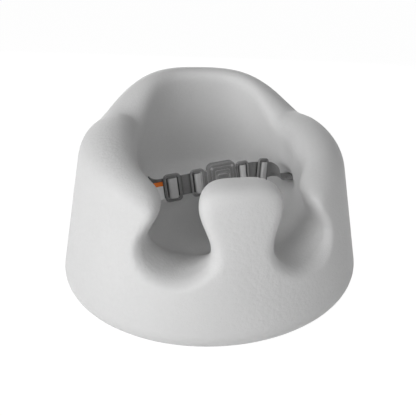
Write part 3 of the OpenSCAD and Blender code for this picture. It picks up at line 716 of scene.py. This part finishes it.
# Frames of the sliders and loops: length, height, thickness, rails, bar, corners and soft edges
FRAME_H, FRAME_T, SLIDER_L, RAIL_W, BAR_W = 35.0, 3.2, 21.0, 3.4, 7.4
LEFT_LOOP_L, RIGHT_LOOP_L, LOOP_RAIL_W, LOOP_BAR_W = 18.0, 17.0, 2.6, 4.6
FRAME_CORNER, SLIDER_SOFT, LOOP_SOFT = 5, 1.3, 1.2
WINDOW_ROOM, WINDOW_CORNER, WINDOW_SOFT = 1.4, 1.5, 0.7
LEFT_SLIDER_AT, RIGHT_SLIDER_AT, RIGHT_TURN, RIGHT_DROP = -62.0, 17.0, 28.0, 15.0
# The buckle's two shells, the room for the button's flange, the button and the tongue
BUCKLE_W, BUCKLE_H, BUCKLE_CORNER = 36.0, 42.0, 7.0
HOUSING_D, COVER_D, STEP_D, STEP_INSET = 5.2, 4.6, 0.8, 4.0
HOUSING_SKIN, COVER_SKIN, CAVITY_W, CAVITY_H = 1.4, 1.1, 19.2, 17
BUTTON_W, BUTTON_H, PRONG_L = 15.0, 16.4, 13.0
FLANGE_W, FLANGE_H, FLANGE_T = 18.4, 12, 1
PRONG_Z, PRONG_H, PRONG_T, CHANNEL_H, CHANNEL_T = 10.75, 3.5, 1.2, 4.1, 1.5
LEFT_NECK, TONGUE_NECK, NECK_H = 3.5, 1.7, 27.0
SCREW_X, SCREW_Z, SCREW_R, SCREW_HEAD_R = 13, 15.5, 1.45, 2.5
# The belt bends round the lap past the tongue's frame
BEND_R = 12.0
BEND_FROM = BUCKLE_W / 2 + TONGUE_NECK + RIGHT_LOOP_L + 1
SHARP = 35


def right_turned(v, t):
    return turn_about("Z", t * RIGHT_TURN) @ turn_about("Y", t * RIGHT_DROP) @ np.array(v, float)


def right_bend(t):
    a = math.radians(t * RIGHT_TURN)
    fall = BEND_R * math.radians(RIGHT_TURN) / 2 * math.tan(math.radians(RIGHT_DROP)) * t * t
    return np.array([BEND_FROM + BEND_R * math.sin(a),
                     WEB_BACK + BEND_R * (1 - math.cos(a)), -fall])


BEND_END = right_bend(1)
RIGHT_DIR, RIGHT_FRONT, RIGHT_ACROSS = (
    right_turned(v, 1) for v in ([1, 0, 0], [0, -1, 0], [0, 0, 1]))
RIGHT_MID = BEND_END + RIGHT_SLIDER_AT * RIGHT_DIR + WEB_BACK * RIGHT_FRONT
LEFT_BAR_X = -BUCKLE_W / 2 - LEFT_NECK - LEFT_LOOP_L / 2
RIGHT_BAR_X = BUCKLE_W / 2 + TONGUE_NECK + RIGHT_LOOP_L / 2


def in_place(points, where):
    """Puts a belt piece, made round its own middle, at a place along the belt."""
    points = np.asarray(points, float)
    if where == "right_slider":
        turn = np.stack([RIGHT_DIR, -RIGHT_FRONT, RIGHT_ACROSS])
        return on_belt(points @ turn + RIGHT_MID)
    return on_belt(points + np.array([where, 0, 0]))


def rounded_plate(w, h, r, y0, y1, soft, flare=False):
    """A plate from y0 to y1 whose edges are rounded by soft, or flared by it for a cutter."""
    steps = np.linspace(0, math.pi / 2, 6)
    if flare:
        half = [(y0 + soft * math.sin(t), soft * (1 - math.sin(t))) for t in steps]
        half.insert(0, (y0 - 1, soft))
    else:
        half = [(y0 + soft * (1 - math.cos(t)), -soft * (1 - math.sin(t))) for t in steps]
    rings = []
    for y, out in half + [(y0 + y1 - y, out) for y, out in reversed(half)]:
        flat = round_rect(w + 2 * out, h + 2 * out, max(r + out, 0.3), 6)
        rings.append(np.stack([flat[:, 0], 0 * flat[:, 0] + y, flat[:, 1]], -1))
    return loft(rings)


def plate_piece(name, w, h, r, y0, y1, soft, where=0, shift=(0, 0), flare=False):
    points, faces = rounded_plate(w, h, r, y0, y1, soft, flare)
    points = points + np.array([shift[0], 0, shift[1]])
    return new_piece(name, in_place(points, where), faces, hard_plastic)


def frame_plate(name, l, soft, where):
    return plate_piece(name, l, FRAME_H, FRAME_CORNER, -FRAME_T / 2, FRAME_T / 2, soft, where)


def window_cutters(l, rail, bar, where):
    """Cutters for the two windows beside a frame's bar."""
    width = l / 2 - rail - bar / 2
    return [plate_piece("cut", width, WEB_W + WINDOW_ROOM, WINDOW_CORNER, -FRAME_T / 2, FRAME_T / 2,
                        WINDOW_SOFT, where, (s * (l / 2 - rail + bar / 2) / 2, 0), True)
            for s in (-1, 1)]


def finish_piece(piece, body, node):
    shade(piece, SHARP)
    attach(piece, body)
    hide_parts(node)


def slider(name, where, body, node):
    piece = frame_plate(name, SLIDER_L, SLIDER_SOFT, where)
    combine(piece, window_cutters(SLIDER_L, RAIL_W, BAR_W, where), "DIFFERENCE")
    finish_piece(piece, body, node)


# ---------------------------------------------------------------- webbing
# The rib's height, its distance from the edge and its width, and how far the faces sink
RIB_OUT, RIB_IN, RIB_W, FACE_IN = 0.12, 2.2, 0.5, 0.05


def web_section(width, thick):
    """A strap's section: flat faces with a fine rib along each edge and round sides."""
    half = width / 2
    x = np.linspace(-1, 1, 25) * (half - thick / 2)
    rib = RIB_OUT * np.exp(-((np.abs(x) - (half - RIB_IN)) / RIB_W) ** 2)
    bow = thick / 2 + rib - FACE_IN
    turn = np.linspace(-math.pi / 2, math.pi / 2, 7)[1:-1]
    right = np.stack([half - thick / 2 + thick / 2 * np.cos(turn), thick / 2 * np.sin(turn)], -1)
    top = np.stack([x, bow], -1)[::-1]
    bottom = np.stack([x, -bow], -1)
    return np.concatenate([bottom, right, top, right[::-1] * [-1, 1]])


def strap(name, path, across, body, material=None, width=WEB_W, thick=WEB_T, node=None):
    """Webbing along path, with its width along across at each point."""
    path, across = np.asarray(path, float), np.asarray(across, float)
    go = np.gradient(path, axis=0)
    go /= np.linalg.norm(go, axis=1)[:, None]
    wide = across - (across * go).sum(1)[:, None] * go
    wide /= np.linalg.norm(wide, axis=1)[:, None]
    normal = np.cross(go, wide)
    section = web_section(width, thick)
    run = np.concatenate([[0], np.cumsum(np.linalg.norm(np.diff(path, axis=0), axis=1))])
    rings = [p + section[:, :1] * w + section[:, 1:] * n for p, w, n in zip(path, wide, normal)]
    uv = np.concatenate([np.stack([0 * section[:, 0] + s, section[:, 0]], -1) for s in run])
    piece = new_piece(name, *loft(rings), material or webbing, body, "webbing", uv, angle=50)
    if node:
        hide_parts(node)
    return piece


def curve(p0, t0, p1, t1, s):
    """A cubic from p0 to p1 that leaves along t0 and arrives along t1."""
    s = s[:, None]
    return ((2 * s ** 3 - 3 * s * s + 1) * p0 + (s ** 3 - 2 * s * s + s) * t0
            + (3 * s * s - 2 * s ** 3) * p1 + (s ** 3 - s * s) * t1)


ALONG, UPRIGHT = belt_dir([1, 0, 0]), belt_dir([0, 0, 1])
MOUTH_OUT, FLAT_RUN = 3.0, 4.0
ROOT_TIP_X = WALL_X - MOUTH_OUT
ROOT_GAP_X = ROOT_TIP_X - GAP
ROOT_BEND = 4 + WEB_T / 2
LOOP_OUT = LOOP_BAR_W / 2 + GAP + WEB_T
LEFT_END = LEFT_SLIDER_AT - SLIDER_L / 2 - 4
FAR_OUT = RIGHT_SLIDER_AT + SLIDER_L / 2 + 3


def free_run(p0, d0, p1, d1, w0, w1, pull):
    """A free stretch that twists its width from w0 to w1 on the way."""
    s = np.linspace(0, 1, 49)
    path = curve(np.array(p0, float), pull * np.array(d0, float), np.array(p1, float),
                 pull * np.array(d1, float), s)
    a = (math.pi / 2 * ramp(s))[:, None]
    return path, np.cos(a) * np.array(w0, float) + np.sin(a) * np.array(w1, float)


def join(*runs):
    """One path from several (path, width) runs, without repeated points."""
    path = np.concatenate([np.atleast_2d(r[0]) for r in runs])
    wide = np.concatenate([np.broadcast_to(r[1], np.atleast_2d(r[0]).shape) for r in runs])
    keep = np.concatenate([[True], np.linalg.norm(np.diff(path, axis=0), axis=1) > 0.05])
    return path[keep], wide[keep]


def along_belt(xs):
    return np.stack([xs, 0 * xs + WEB_BACK, 0 * xs], -1)


def straps():
    left_start = on_belt([LEFT_END, WEB_BACK, 0])
    wall = [[-ROOT_GAP_X, EXIT_Y, EXIT_Z], [-ROOT_GAP_X + FLAT_RUN, EXIT_Y, EXIT_Z]]
    path, wide = join((wall, [0, 1, 0]),
                      free_run(wall[1], [1, 0, 0], left_start, ALONG, [0, 1, 0], UPRIGHT, 40))
    outer = strap("webbing_left_outer", path, wide, None, node="strap_left")
    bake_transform(outer)
    xs = np.linspace(LEFT_END, LEFT_BAR_X + LOOP_OUT, 40)
    path = on_belt(along_belt(xs))
    inner = strap("webbing_left_inner", path, np.broadcast_to(UPRIGHT, path.shape), "belt",
                  node="strap_left")
    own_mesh(inner)

    straight = along_belt(np.linspace(RIGHT_BAR_X - LOOP_OUT, BEND_FROM, 24))
    turn = np.linspace(0, 1, 12)[1:]
    bend = np.stack([right_bend(t) for t in turn])
    bend_wide = np.stack([belt_dir(right_turned([0, 0, 1], t)) for t in turn])
    far = BEND_END + FAR_OUT * RIGHT_DIR
    level = BEND_END + np.linspace(0, 1, 16)[1:-1, None] * (far - BEND_END)
    across = belt_dir(RIGHT_ACROSS)
    wall = [[ROOT_GAP_X - FLAT_RUN, EXIT_Y, EXIT_Z], [ROOT_GAP_X, EXIT_Y, EXIT_Z]]
    path, wide = join(
        (on_belt(straight), UPRIGHT), (on_belt(bend), bend_wide), (on_belt(level), across),
        free_run(on_belt(far), belt_dir(RIGHT_DIR), wall[0], [1, 0, 0], across, [0, -1, 0], 30),
        (wall, [0, -1, 0]))
    right = strap("webbing_right", path, wide, None, node="strap_right")
    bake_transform(right)


# The room over a bar, and the powers that make the fold squarer than half an ellipse
FOLD_ROOM, FOLD_SIDE, FOLD_TOP = 0.5, 0.7, 0.75


def fold(name, bar, where, body, node):
    """Webbing that comes from behind, over the bar and back again."""
    half = bar / 2 + GAP + WEB_T / 2
    top = FRAME_T / 2 + GAP + WEB_T / 2 + FOLD_ROOM
    foot = WEB_BACK - WEB_T / 2 - GAP
    t = np.linspace(0, math.pi, 41)
    arch = np.stack([-half * np.sign(np.cos(t)) * np.abs(np.cos(t)) ** FOLD_SIDE,
                     -top * np.sin(t) ** FOLD_TOP], -1)
    legs = np.linspace(foot, 0, 5)[:-1]
    flat = np.concatenate([np.stack([0 * legs - half, legs], -1), arch,
                           np.stack([0 * legs + half, legs[::-1]], -1)])
    path = in_place(np.stack([flat[:, 0], flat[:, 1], 0 * flat[:, 0]], -1), where)
    across = belt_dir(RIGHT_ACROSS) if where == "right_slider" else UPRIGHT
    # The fold's webbing is coloured lighter than the straps' as a painted highlight
    strap(name, path, np.broadcast_to(across, path.shape), body, glossy_webbing_painted_highlight, node=node)


def roots():
    """The straps' ends: in through the slot, down the tunnel and round the anchor's bar."""
    r, ring = ROOT_BEND, RING_R - WEB_T / 2
    xs = np.linspace(ROOT_TIP_X, TUNNEL_X - r, 8)
    line = np.stack([xs, 0 * xs + EXIT_Z], -1)
    a = np.linspace(math.pi / 2, 0, 12)[1:]
    bend = np.stack([TUNNEL_X - r + r * np.cos(a), EXIT_Z - r + r * np.sin(a)], -1)
    zs = np.linspace(EXIT_Z - r, ANCHOR_Z + ring + 4, 20)[1:]
    drop = np.stack([0 * zs + TUNNEL_X, zs], -1)
    a = np.linspace(0, 2 * math.pi, 40)
    loop = np.stack([TUNNEL_X + ring * np.sin(a), ANCHOR_Z + ring * np.cos(a)], -1)
    flat = np.concatenate([line, bend, drop, loop])
    for side, word in ((-1, "left"), (1, "right")):
        path = np.stack([side * flat[:, 0], 0 * flat[:, 0] + EXIT_Y, flat[:, 1]], -1)
        strap("webbing_root_" + word, path, np.broadcast_to([0, 1.0, 0], path.shape), "seat",
              node="strap_root_" + word)


# ---------------------------------------------------------------- the buckle and the tag
def prongs(name, length, h, r, half_t, soft, x):
    """The tongue's two prongs, or the cutters for the channels that they run in."""
    return [plate_piece(name, length, h, r, -half_t, half_t, soft, x, (0, s * PRONG_Z))
            for s in (-1, 1)]


def channels():
    return prongs("cut", PRONG_L + 2, CHANNEL_H, 0.4, CHANNEL_T, 0.05, BUCKLE_W / 2 - PRONG_L / 2)


def buckle_cutter(rings):
    points, faces = loft(rings)
    return new_piece("cut", in_place(points, 0), faces, hard_plastic)


def screw_holes(y0, y1, r):
    a = np.linspace(0, 2 * math.pi, 25)[:-1]
    return [buckle_cutter([np.stack([x + r * np.cos(a), 0 * a + y, z + r * np.sin(a)], -1)
                           for y in (y0, y1)])
            for x in (-SCREW_X, SCREW_X) for z in (-SCREW_Z, SCREW_Z)]


def finger_dish(w, h, r, face):
    """A shallow dish, for cutting into the button's face."""
    rings = []
    for depth, shrink in ((-1, 0.0), (0, 0.0), (0.18, 0.5), (0.32, 1.3), (0.4, 2.4)):
        flat = round_rect(w - 2 * shrink, h - 2 * shrink, r, 6)
        rings.append(np.stack([flat[:, 0], 0 * flat[:, 0] + face + depth, flat[:, 1]], -1))
    return buckle_cutter(rings)


def buckle_housing():
    half_t = FRAME_T / 2
    house = plate_piece("buckle_back", BUCKLE_W, BUCKLE_H, BUCKLE_CORNER, 0, HOUSING_D, 1.4)
    neck = plate_piece("neck", LEFT_NECK + 4, NECK_H, 1, -half_t, half_t, 0.5,
                       -BUCKLE_W / 2 - LEFT_NECK / 2)
    combine(house, [frame_plate("loop", LEFT_LOOP_L, LOOP_SOFT, LEFT_BAR_X), neck], "UNION")
    cuts = window_cutters(LEFT_LOOP_L, LOOP_RAIL_W, LOOP_BAR_W, LEFT_BAR_X)
    cuts += [plate_piece("cut", CAVITY_W, CAVITY_H, 0.5, -6, HOUSING_D - HOUSING_SKIN, 0.1),
             plate_piece("cut", BUCKLE_W, BUCKLE_H + 4, 0.5, -6, 0, 0.05)]
    cuts += channels() + screw_holes(-1, HOUSING_D + 1, SCREW_R)
    cuts += screw_holes(HOUSING_D - 1.5, HOUSING_D + 1, SCREW_HEAD_R)
    combine(house, cuts, "DIFFERENCE")
    finish_piece(house, "buckle", "buckle_housing")


def buckle_cover():
    cover = plate_piece("buckle_front", BUCKLE_W, BUCKLE_H, BUCKLE_CORNER, -COVER_D, -0.02, 1.2)
    steps = []
    for k in (1, 2):
        inset = k * STEP_INSET
        steps.append(plate_piece("step", BUCKLE_W - 2 * inset, BUCKLE_H - 2 * inset,
                                 BUCKLE_CORNER - inset / 2, -COVER_D - k * STEP_D,
                                 -COVER_D + 1, 0.35))
    combine(cover, steps, "UNION")
    cuts = [plate_piece("cut", CAVITY_W, CAVITY_H, 0.5, -COVER_D + COVER_SKIN, 2, 0.05),
            plate_piece("cut", BUTTON_W + 2 * GAP, BUTTON_H + 2 * GAP, 3.3,
                        -COVER_D - 2 * STEP_D, 3, 0.4, flare=True)]
    cuts += channels() + screw_holes(-COVER_D + 1, 1, SCREW_R)
    combine(cover, cuts, "DIFFERENCE")
    finish_piece(cover, "buckle", "buckle_cover")


# The button's face, and the back of the flange that keeps it in the cover
BUTTON_FACE = -COVER_D - 2 * STEP_D - 0.5
FLANGE_Y = -COVER_D + 1.2


def release_button():
    button = plate_piece("button", BUTTON_W, BUTTON_H, 3, BUTTON_FACE, FLANGE_Y + 0.5, 0.9)
    flange = plate_piece("flange", FLANGE_W, FLANGE_H, 0.6, FLANGE_Y, FLANGE_Y + FLANGE_T, 0.2)
    combine(button, [flange], "UNION")
    combine(button, [finger_dish(9.5, 10.5, 2, BUTTON_FACE)], "DIFFERENCE")
    button.data.materials.clear()
    button.data.materials.append(button_plastic)
    finish_piece(button, "button", "release_button")


def tongue():
    half_t = FRAME_T / 2
    piece = frame_plate("tongue_frame", RIGHT_LOOP_L, LOOP_SOFT, RIGHT_BAR_X)
    neck = plate_piece("neck", TONGUE_NECK - GAP + 1, NECK_H, 0.5, -half_t, half_t, 0.3,
                       BUCKLE_W / 2 + (TONGUE_NECK + GAP + 1) / 2)
    combine(piece, [neck] + prongs("prong", PRONG_L + 1, PRONG_H, 0.8, PRONG_T, 0.4,
                                   BUCKLE_W / 2 - (PRONG_L - 1) / 2), "UNION")
    combine(piece, window_cutters(RIGHT_LOOP_L, LOOP_RAIL_W, LOOP_BAR_W, RIGHT_BAR_X), "DIFFERENCE")
    finish_piece(piece, "belt", "tongue")


def spring():
    """The button's spring, pressed against the housing's back wall."""
    r, wire, turns, steps, room = 3.0, 0.3, 4, 32, 0.05
    near = FLANGE_Y + FLANGE_T + wire + room
    far = HOUSING_D - HOUSING_SKIN - wire - room
    around = np.linspace(0, 2 * math.pi, 11)[:-1]
    rings = []
    for t in np.linspace(0, 1, turns * steps + 1):
        a, out = 2 * math.pi * turns * t, r + wire * np.cos(around)
        rings.append(np.stack([out * math.cos(a), mix(near, far, t) + wire * np.sin(around),
                               out * math.sin(a)], -1))
    points, faces = loft(rings)
    coil = new_piece("spring_coil", on_belt(points), faces, steel, "buckle", "spring_steel",
                     angle=60)
    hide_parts("button_spring")
    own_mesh(coil)


TAG_L, TAG_T, TAG_LOW, TAG_HIGH, BAND_H = 18.0, 0.4, -13.2, 9.3, 5.5


def tag():
    """Two strips of satin ribbon, sewn at their right end and a little curled at the left."""
    x1 = LEFT_SLIDER_AT - SLIDER_L / 2 - 0.8
    y0 = WEB_BACK - WEB_T / 2 - GAP - TAG_T / 2
    s = np.linspace(0, 1, 25)
    curl = -0.5 * ramp(s) ** 2
    sewn = TAG_HIGH - BAND_H
    for name, low, high, material, slot, node in (
            ("tag_band_strip", sewn, TAG_HIGH, tag_orange, "tag_orange", "tag_band"),
            ("tag_label_strip", TAG_LOW, sewn - 0.05, tag_white, "tag_white", "tag_label")):
        path = on_belt(np.stack([x1 - TAG_L * s, y0 + curl, 0 * s + (low + high) / 2], -1))
        piece = strap(name, path, np.broadcast_to(UPRIGHT, path.shape), "slider_left", material,
                      high - low, TAG_T, node)
        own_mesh(piece)


def dress_nodes():
    """Materials for the CAD nodes that show as they are."""
    for name, material in (("buckle_screws", steel),
                           ("anchor_left", anchor_plastic), ("anchor_right", anchor_plastic)):
        data = nodes[name].data
        data.materials.clear()
        data.materials.append(material)


# ---------------------------------------------------------------- stage and light
FLOOR_REACH, FLOOR_GREY, FLOOR_GLOW, GLOW_PART = 90.0, (0.86, 0.86, 0.86, 1), 1.13, 0.86
WORLD_LIGHT = 0.02
LAMP_DISTANCE, LAMP_AIM = 2.0, 0.12


def stage():
    """A pale floor and a white room; the lamps give nearly all of the light."""
    floor_mesh = bpy.data.meshes.new("floor")
    floor_mesh.from_pydata([(FLOOR_REACH * x, FLOOR_REACH * y, 0)
                            for x, y in ((-1, -1), (1, -1), (1, 1), (-1, 1))], [], [(0, 1, 2, 3)])
    floor = bpy.data.objects.new("floor", floor_mesh)
    bpy.context.scene.collection.objects.link(floor)
    m = Material("pale_floor", {"Roughness": 0.9, "Base Color": FLOOR_GREY})
    ray = m.add("LightPath")
    bounced = m.math("MAXIMUM", ray.outputs["Is Glossy Ray"], ray.outputs["Is Transmission Ray"])
    seen = m.math("MAXIMUM", ray.outputs["Is Camera Ray"], bounced)
    glow = m.add("Emission", {"Color": WHITE, "Strength": FLOOR_GLOW})
    blend = m.add("MixShader", {0: m.math("MULTIPLY", seen, GLOW_PART), 1: m.shader.outputs[0],
                                2: glow.outputs[0]})
    # Seen from below, the floor lets the underside show
    clear = m.add("BsdfTransparent")
    below = m.add("NewGeometry").outputs["Backfacing"]
    sided = m.add("MixShader", {0: below, 1: blend.outputs[0], 2: clear.outputs[0]})
    m.show(sided, "Material Output")
    floor_mesh.materials.append(m.material)

    world = bpy.data.worlds.new("studio")
    bpy.context.scene.world = world
    world.use_nodes = True
    w = Nodes(world.node_tree)
    lit = w.tree.nodes["Background"]
    lit.inputs["Color"].default_value, lit.inputs["Strength"].default_value = WHITE, WORLD_LIGHT
    plain = w.add("Background", {"Color": WHITE, "Strength": 1.0})
    ray = w.add("LightPath")
    seen = w.math("MAXIMUM", ray.outputs["Is Camera Ray"], ray.outputs["Is Glossy Ray"])
    w.show(w.add("MixShader", {0: seen, 1: lit.outputs[0], 2: plain.outputs[0]}), "World Output")


def softbox(name, azimuth, elevation, width, height, watts):
    """A soft lamp aimed at the seat; azimuth counts from the front towards the right."""
    data = bpy.data.lights.new(name, "AREA")
    data.shape = "RECTANGLE"
    data.size, data.size_y = width, height
    data.energy = watts
    light = bpy.data.objects.new(name, data)
    bpy.context.scene.collection.objects.link(light)
    turn, rise = math.radians(azimuth), math.radians(elevation)
    away = Vector((math.cos(rise) * math.sin(turn), -math.cos(rise) * math.cos(turn),
                   math.sin(rise)))
    light.location = Vector((0, 0, LAMP_AIM)) + LAMP_DISTANCE * away
    light.rotation_euler = away.to_track_quat("Z", "Y").to_euler()


make_camera()
foam = foam_material()
webbing = webbing_material("grey_webbing", 0.24)
# The folds over the bars use the same webbing, glossier and coloured much lighter as a painted
# highlight
glossy_webbing_painted_highlight = webbing_material("glossy_webbing_painted_highlight", 0.62, 0.3)
hard_plastic = plastic_material("grey_plastic", 0.195, 0.34)
button_plastic = plastic_material("button_plastic", 0.215, 0.33)
anchor_plastic = plastic_material("anchor_plastic", 0.10)
steel = steel_material()
tag_orange = ribbon_material("orange_ribbon", (1.0, 0.25, 0.012, 1), (0.9, 0.18, 0.008, 1))
tag_white = ribbon_material("white_ribbon", 0.92, 0.82)

foam_shell()
straps()
roots()
fold("fold_slider_left", BAR_W, LEFT_SLIDER_AT, "slider_left", "wrap_left")
fold("fold_slider_right", BAR_W, "right_slider", "slider_right", "wrap_right")
fold("fold_loop_left", LOOP_BAR_W, LEFT_BAR_X, "buckle", "loop_left")
fold("fold_loop_right", LOOP_BAR_W, RIGHT_BAR_X, "belt", "loop_right")
slider("slider_frame_left", LEFT_SLIDER_AT, "slider_left", "slider_left")
slider("slider_frame_right", "right_slider", "slider_right", "slider_right")
buckle_housing()
buckle_cover()
release_button()
tongue()
spring()
tag()
dress_nodes()
stage()
softbox("key", -60, 22, 2.3, 1.2, 34)
softbox("front", -4, 29, 0.4, 0.4, 4.8)
softbox("fill", 52, 28, 1.8, 1.4, 5.5)
softbox("rear", 175, 18, 2.0, 1.0, 12)

bpy.context.scene.view_settings.view_transform = "Standard"
